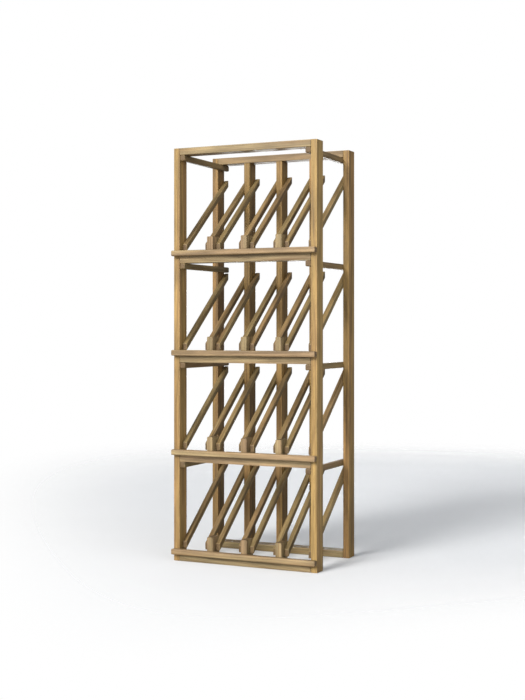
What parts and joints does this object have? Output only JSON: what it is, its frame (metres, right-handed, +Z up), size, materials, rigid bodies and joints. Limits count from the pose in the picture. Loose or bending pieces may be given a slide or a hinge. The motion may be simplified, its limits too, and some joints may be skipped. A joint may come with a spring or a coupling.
{
  "type": "wine rack",
  "caption": "Tall, narrow slatted wooden wine rack with stacked rows of tilted bays; paired sloping bearers hold each bottle neck-up behind a front lip.",
  "frame": {"origin": "centre of the footprint at floor level, lips included", "axes": "+Z up, +X along the width, -Y towards the front with the lips"},
  "size_m": [0.432, 0.2928, 1.148],
  "materials": {
    "front_post_wood": "satin",
    "rear_post_wood": "satin",
    "rail_wood": "satin",
    "lip_wood": "satin",
    "side_rail_wood": "satin",
    "bearer_wood": "satin"
  },
  "bodies": {
    "root": {"front_post_left": "front_post_wood", "front_post_right": "front_post_wood", "front_top_rail": "rail_wood", "front_rail_tier1": "rail_wood", "lip_tier1": "lip_wood", "front_rail_tier2": "rail_wood", "lip_tier2": "lip_wood", "front_rail_tier3": "rail_wood", "lip_tier3": "lip_wood", "front_rail_tier4": "rail_wood", "lip_tier4": "lip_wood", "rear_post_left": "rear_post_wood", "rear_post_right": "rear_post_wood", "rear_bottom_rail": "rail_wood", "rear_top_rail": "rail_wood", "rear_post_inner1": "rear_post_wood", "rear_post_inner2": "rear_post_wood", "rear_post_inner3": "rear_post_wood", "side_rail_level1_left": "side_rail_wood", "side_rail_level1_right": "side_rail_wood", "side_rail_level2_left": "side_rail_wood", "side_rail_level2_right": "side_rail_wood", "side_rail_level3_left": "side_rail_wood", "side_rail_level3_right": "side_rail_wood", "side_rail_level4_left": "side_rail_wood", "side_rail_level4_right": "side_rail_wood", "bearer_tier1_bay1_left": "bearer_wood", "bearer_tier1_bay1_right": "bearer_wood", "bearer_tier1_bay2_left": "bearer_wood", "bearer_tier1_bay2_right": "bearer_wood", "bearer_tier1_bay3_left": "bearer_wood", "bearer_tier1_bay3_right": "bearer_wood", "bearer_tier1_bay4_left": "bearer_wood", "bearer_tier1_bay4_right": "bearer_wood", "bearer_tier2_bay1_left": "bearer_wood", "bearer_tier2_bay1_right": "bearer_wood", "bearer_tier2_bay2_left": "bearer_wood", "bearer_tier2_bay2_right": "bearer_wood", "bearer_tier2_bay3_left": "bearer_wood", "bearer_tier2_bay3_right": "bearer_wood", "bearer_tier2_bay4_left": "bearer_wood", "bearer_tier2_bay4_right": "bearer_wood", "bearer_tier3_bay1_left": "bearer_wood", "bearer_tier3_bay1_right": "bearer_wood", "bearer_tier3_bay2_left": "bearer_wood", "bearer_tier3_bay2_right": "bearer_wood", "bearer_tier3_bay3_left": "bearer_wood", "bearer_tier3_bay3_right": "bearer_wood", "bearer_tier3_bay4_left": "bearer_wood", "bearer_tier3_bay4_right": "bearer_wood", "bearer_tier4_bay1_left": "bearer_wood", "bearer_tier4_bay1_right": "bearer_wood", "bearer_tier4_bay2_left": "bearer_wood", "bearer_tier4_bay2_right": "bearer_wood", "bearer_tier4_bay3_left": "bearer_wood", "bearer_tier4_bay3_right": "bearer_wood", "bearer_tier4_bay4_left": "bearer_wood", "bearer_tier4_bay4_right": "bearer_wood"}
  },
  "joints": []
}
